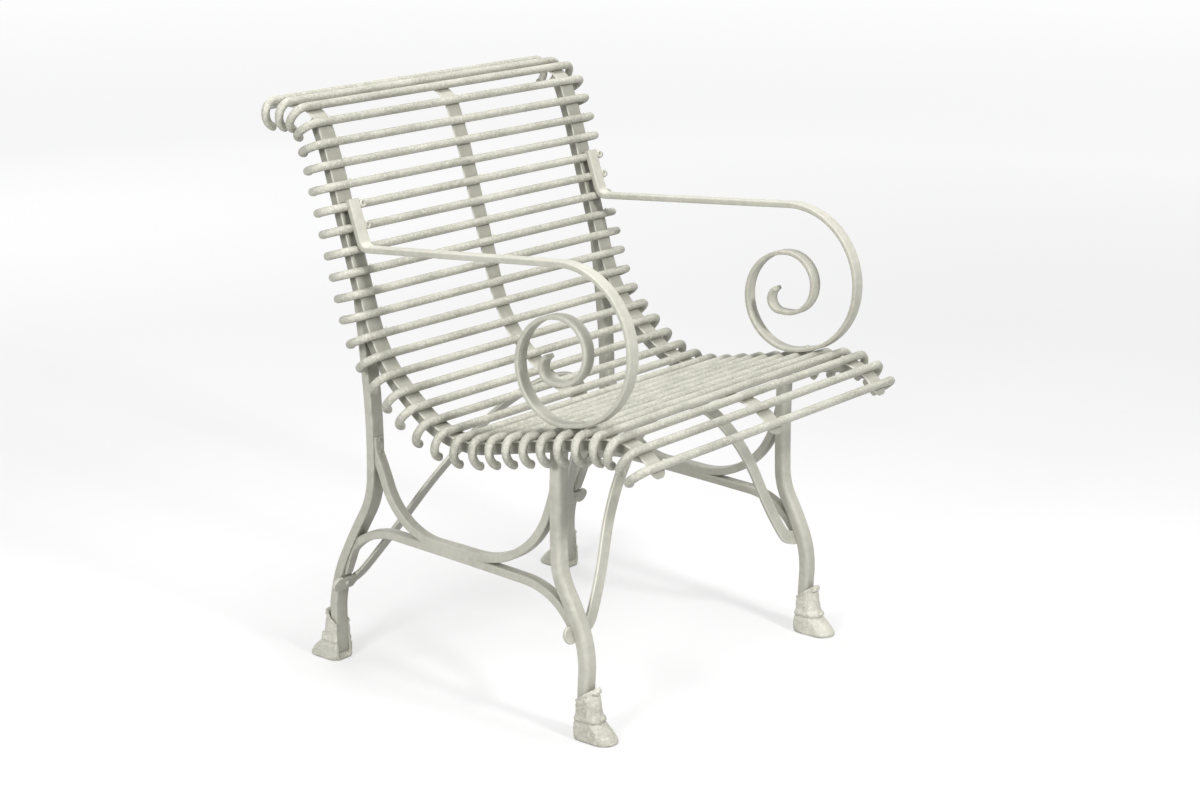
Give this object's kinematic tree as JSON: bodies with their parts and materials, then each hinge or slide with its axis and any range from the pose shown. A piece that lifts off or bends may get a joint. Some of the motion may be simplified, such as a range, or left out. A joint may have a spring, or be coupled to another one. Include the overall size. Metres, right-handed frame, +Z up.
{
  "type": "wrought iron armchair",
  "caption": "Wrought iron armchair: hooked round-rod seat and back in one sweep, scrolled flat-bar arms, arched braces and cast hoof feet.",
  "frame": {"origin": "on the floor, under the middle of the overall width and depth", "axes": "+Z up, the seat front faces -Y, +X is the left side of a person sitting in the chair"},
  "size_m": [0.62, 0.6964, 0.8229],
  "materials": {
    "painted_rod": "satin",
    "painted_bar": "satin",
    "cast_hoof": "satin paint",
    "painted_fixing": "satin"
  },
  "bodies": {
    "root": {"slat_01": "painted_rod", "slat_02": "painted_rod", "slat_03": "painted_rod", "slat_04": "painted_rod", "slat_05": "painted_rod", "slat_06": "painted_rod", "slat_07": "painted_rod", "slat_08": "painted_rod", "slat_09": "painted_rod", "slat_10": "painted_rod", "slat_11": "painted_rod", "slat_12": "painted_rod", "slat_13": "painted_rod", "slat_14": "painted_rod", "slat_15": "painted_rod", "slat_16": "painted_rod", "slat_17": "painted_rod", "slat_18": "painted_rod", "slat_19": "painted_rod", "slat_20": "painted_rod", "slat_21": "painted_rod", "slat_22": "painted_rod", "slat_23": "painted_rod", "slat_24": "painted_rod", "slat_25": "painted_rod", "slat_26": "painted_rod", "slat_27": "painted_rod", "slat_28": "painted_rod", "slat_29": "painted_rod", "slat_30": "painted_rod", "slat_31": "painted_rod", "slat_32": "painted_rod", "strip_left": "painted_bar", "strip_center": "painted_bar", "strip_right": "painted_bar", "rail_left": "painted_bar", "rail_right": "painted_bar", "arm_left": "painted_bar", "arm_right": "painted_bar", "leg_front_left": "painted_bar", "leg_front_right": "painted_bar", "leg_back_left": "painted_bar", "leg_back_right": "painted_bar", "hoof_front_left": "cast_hoof", "hoof_front_right": "cast_hoof", "hoof_back_left": "cast_hoof", "hoof_back_right": "cast_hoof", "brace_upper_left": "painted_bar", "brace_upper_right": "painted_bar", "brace_lower_left": "painted_bar", "brace_lower_right": "painted_bar", "arch_front": "painted_bar", "arch_back": "painted_bar", "brace_rivets": "painted_fixing", "arch_rivets": "painted_fixing", "arm_bolts": "painted_fixing", "arm_buttons": "painted_fixing"}
  },
  "joints": []
}
